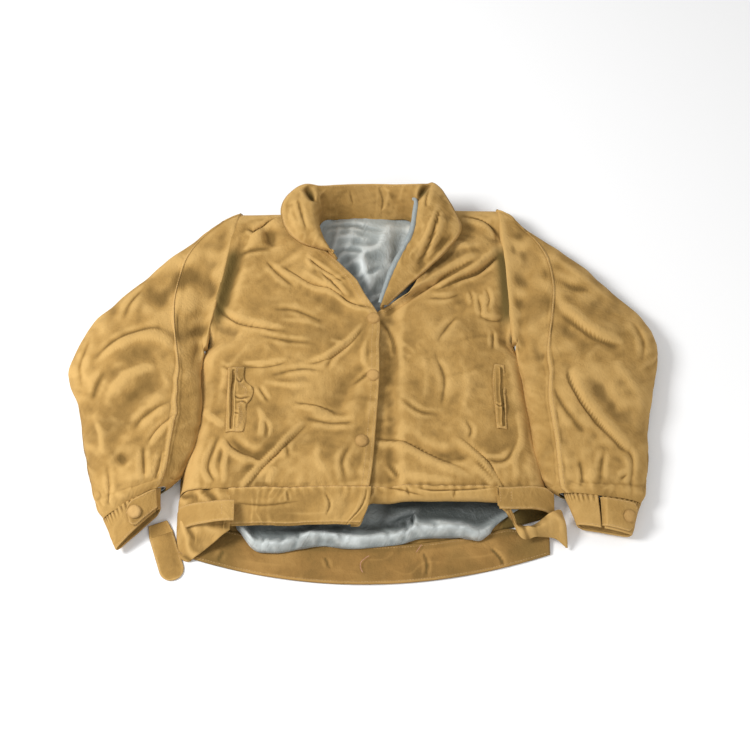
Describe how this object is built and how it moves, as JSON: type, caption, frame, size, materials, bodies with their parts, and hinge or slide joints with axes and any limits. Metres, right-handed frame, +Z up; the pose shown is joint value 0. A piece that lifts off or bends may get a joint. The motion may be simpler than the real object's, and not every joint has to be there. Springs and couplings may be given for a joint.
{
  "type": "leather jacket",
  "caption": "Waist-length split-leather work jacket lying on its back, with roll collar, snap front and cuffs, hip pockets, banded hem with side straps and satin lining.",
  "frame": {"origin": "centre of the lying jacket in plan, on the surface it lies on", "axes": "+X to the wearer's left, from cuff side to cuff side; +Y from hem to collar; +Z up, out of the jacket front"},
  "size_m": [0.9472, 0.68, 0.0777],
  "materials": {
    "suede": "matte brushed split leather, mottled and worn",
    "covered_button": "matte split leather drawn over a press-stud cap",
    "suede_facing": "matte brushed leather, olive brown on the inside",
    "satin_lining": "silver-grey satin, soft sheen, creased",
    "brass": "dull antique brass",
    "pocket_cloth": "plain woven cotton pocketing"
  },
  "bodies": {
    "root": {"front_right_side": "suede", "front_left_side": "suede", "waistband_right_side": "suede", "waistband_left_side": "suede", "waistband_right_hip": "suede", "waistband_left_hip": "suede", "waist_strap_right": "suede", "waist_strap_left": "suede", "strap_base_right": "suede", "back_panel": "suede", "waistband_back": "suede", "collar_stand": "suede", "collar_right_lobe": "suede", "collar_left_lobe": "suede", "pocket_welt_right": "suede", "pocket_welt_left": "suede", "front_right_side_lining": "satin_lining", "front_left_side_lining": "satin_lining", "back_lining": "satin_lining", "pocket_bag_right": "pocket_cloth", "pocket_bag_left": "pocket_cloth"},
    "front_right_flap": {"front_right_flap": "suede", "front_right_facing": "suede_facing", "front_right_flap_lining": "satin_lining", "waistband_right_flap": "suede", "snap_cap_front_1": "covered_button", "snap_cap_front_2": "covered_button", "snap_cap_front_3": "covered_button", "snap_socket_front_1": "brass", "snap_socket_front_2": "brass", "snap_socket_front_3": "brass"},
    "front_left_flap": {"front_left_flap": "suede", "front_left_facing": "suede_facing", "front_left_flap_lining": "satin_lining", "waistband_left_flap": "suede", "front_left_revers": "suede", "snap_stud_front_1": "brass", "snap_stud_front_2": "brass", "snap_stud_front_3": "brass"},
    "sleeve_right": {"sleeve_right_upper": "suede", "sleeve_right_front": "suede", "sleeve_right_under": "suede", "sleeve_right_lining": "satin_lining", "cuff_right_band": "suede", "snap_stud_cuff_right": "brass"},
    "sleeve_left": {"sleeve_left_upper": "suede", "sleeve_left_front": "suede", "sleeve_left_under": "suede", "sleeve_left_lining": "satin_lining", "cuff_left_band": "suede", "snap_stud_cuff_left": "brass"},
    "cuff_tab_right": {"cuff_right_tab": "suede", "snap_cap_cuff_right": "covered_button", "snap_socket_cuff_right": "brass"},
    "cuff_tab_left": {"cuff_left_tab": "suede", "snap_cap_cuff_left": "covered_button", "snap_socket_cuff_left": "brass"},
    "strap_tail": {"strap_tail_right": "suede"}
  },
  "joints": [
    {"name": "right_front_fold", "type": "hinge", "parent": "root", "child": "front_right_flap", "pos_m": [-0.012, 0.16, 0.0522], "axis": [-0.3528, -0.9357, 0], "range_deg": [0, 130]},
    {"name": "left_front_fold", "type": "hinge", "parent": "root", "child": "front_left_flap", "pos_m": [0.066, 0.136, 0.0522], "axis": [-0.3213, 0.947, 0], "range_deg": [0, 58.5]},
    {"name": "right_sleeve_swing", "type": "hinge", "parent": "root", "child": "sleeve_right", "pos_m": [-0.217, 0.303, 0.02], "axis": [0, 0, -1], "range_deg": [0, 18]},
    {"name": "left_sleeve_swing", "type": "hinge", "parent": "root", "child": "sleeve_left", "pos_m": [0.232, 0.311, 0.02], "axis": [0, 0, 1], "range_deg": [0, 18]},
    {"name": "right_cuff_tab_lift", "type": "hinge", "parent": "sleeve_right", "child": "cuff_tab_right", "pos_m": [-0.3137, -0.1955, 0.0357], "axis": [-0.0639, 0.9748, 0.2139], "range_deg": [0, 110]},
    {"name": "left_cuff_tab_lift", "type": "hinge", "parent": "sleeve_left", "child": "cuff_tab_left", "pos_m": [0.3609, -0.214, 0.0436], "axis": [0.0293, -0.9894, -0.1422], "range_deg": [0, 110]},
    {"name": "strap_tail_lift", "type": "hinge", "parent": "root", "child": "strap_tail", "pos_m": [-0.311, -0.26, 0.0032], "axis": [-0.9455, -0.3256, 0], "range_deg": [0, 100]}
  ],
  "couplings": [
    {"joint": "left_front_fold", "follows": "right_front_fold", "ratio": 0.45}
  ]
}
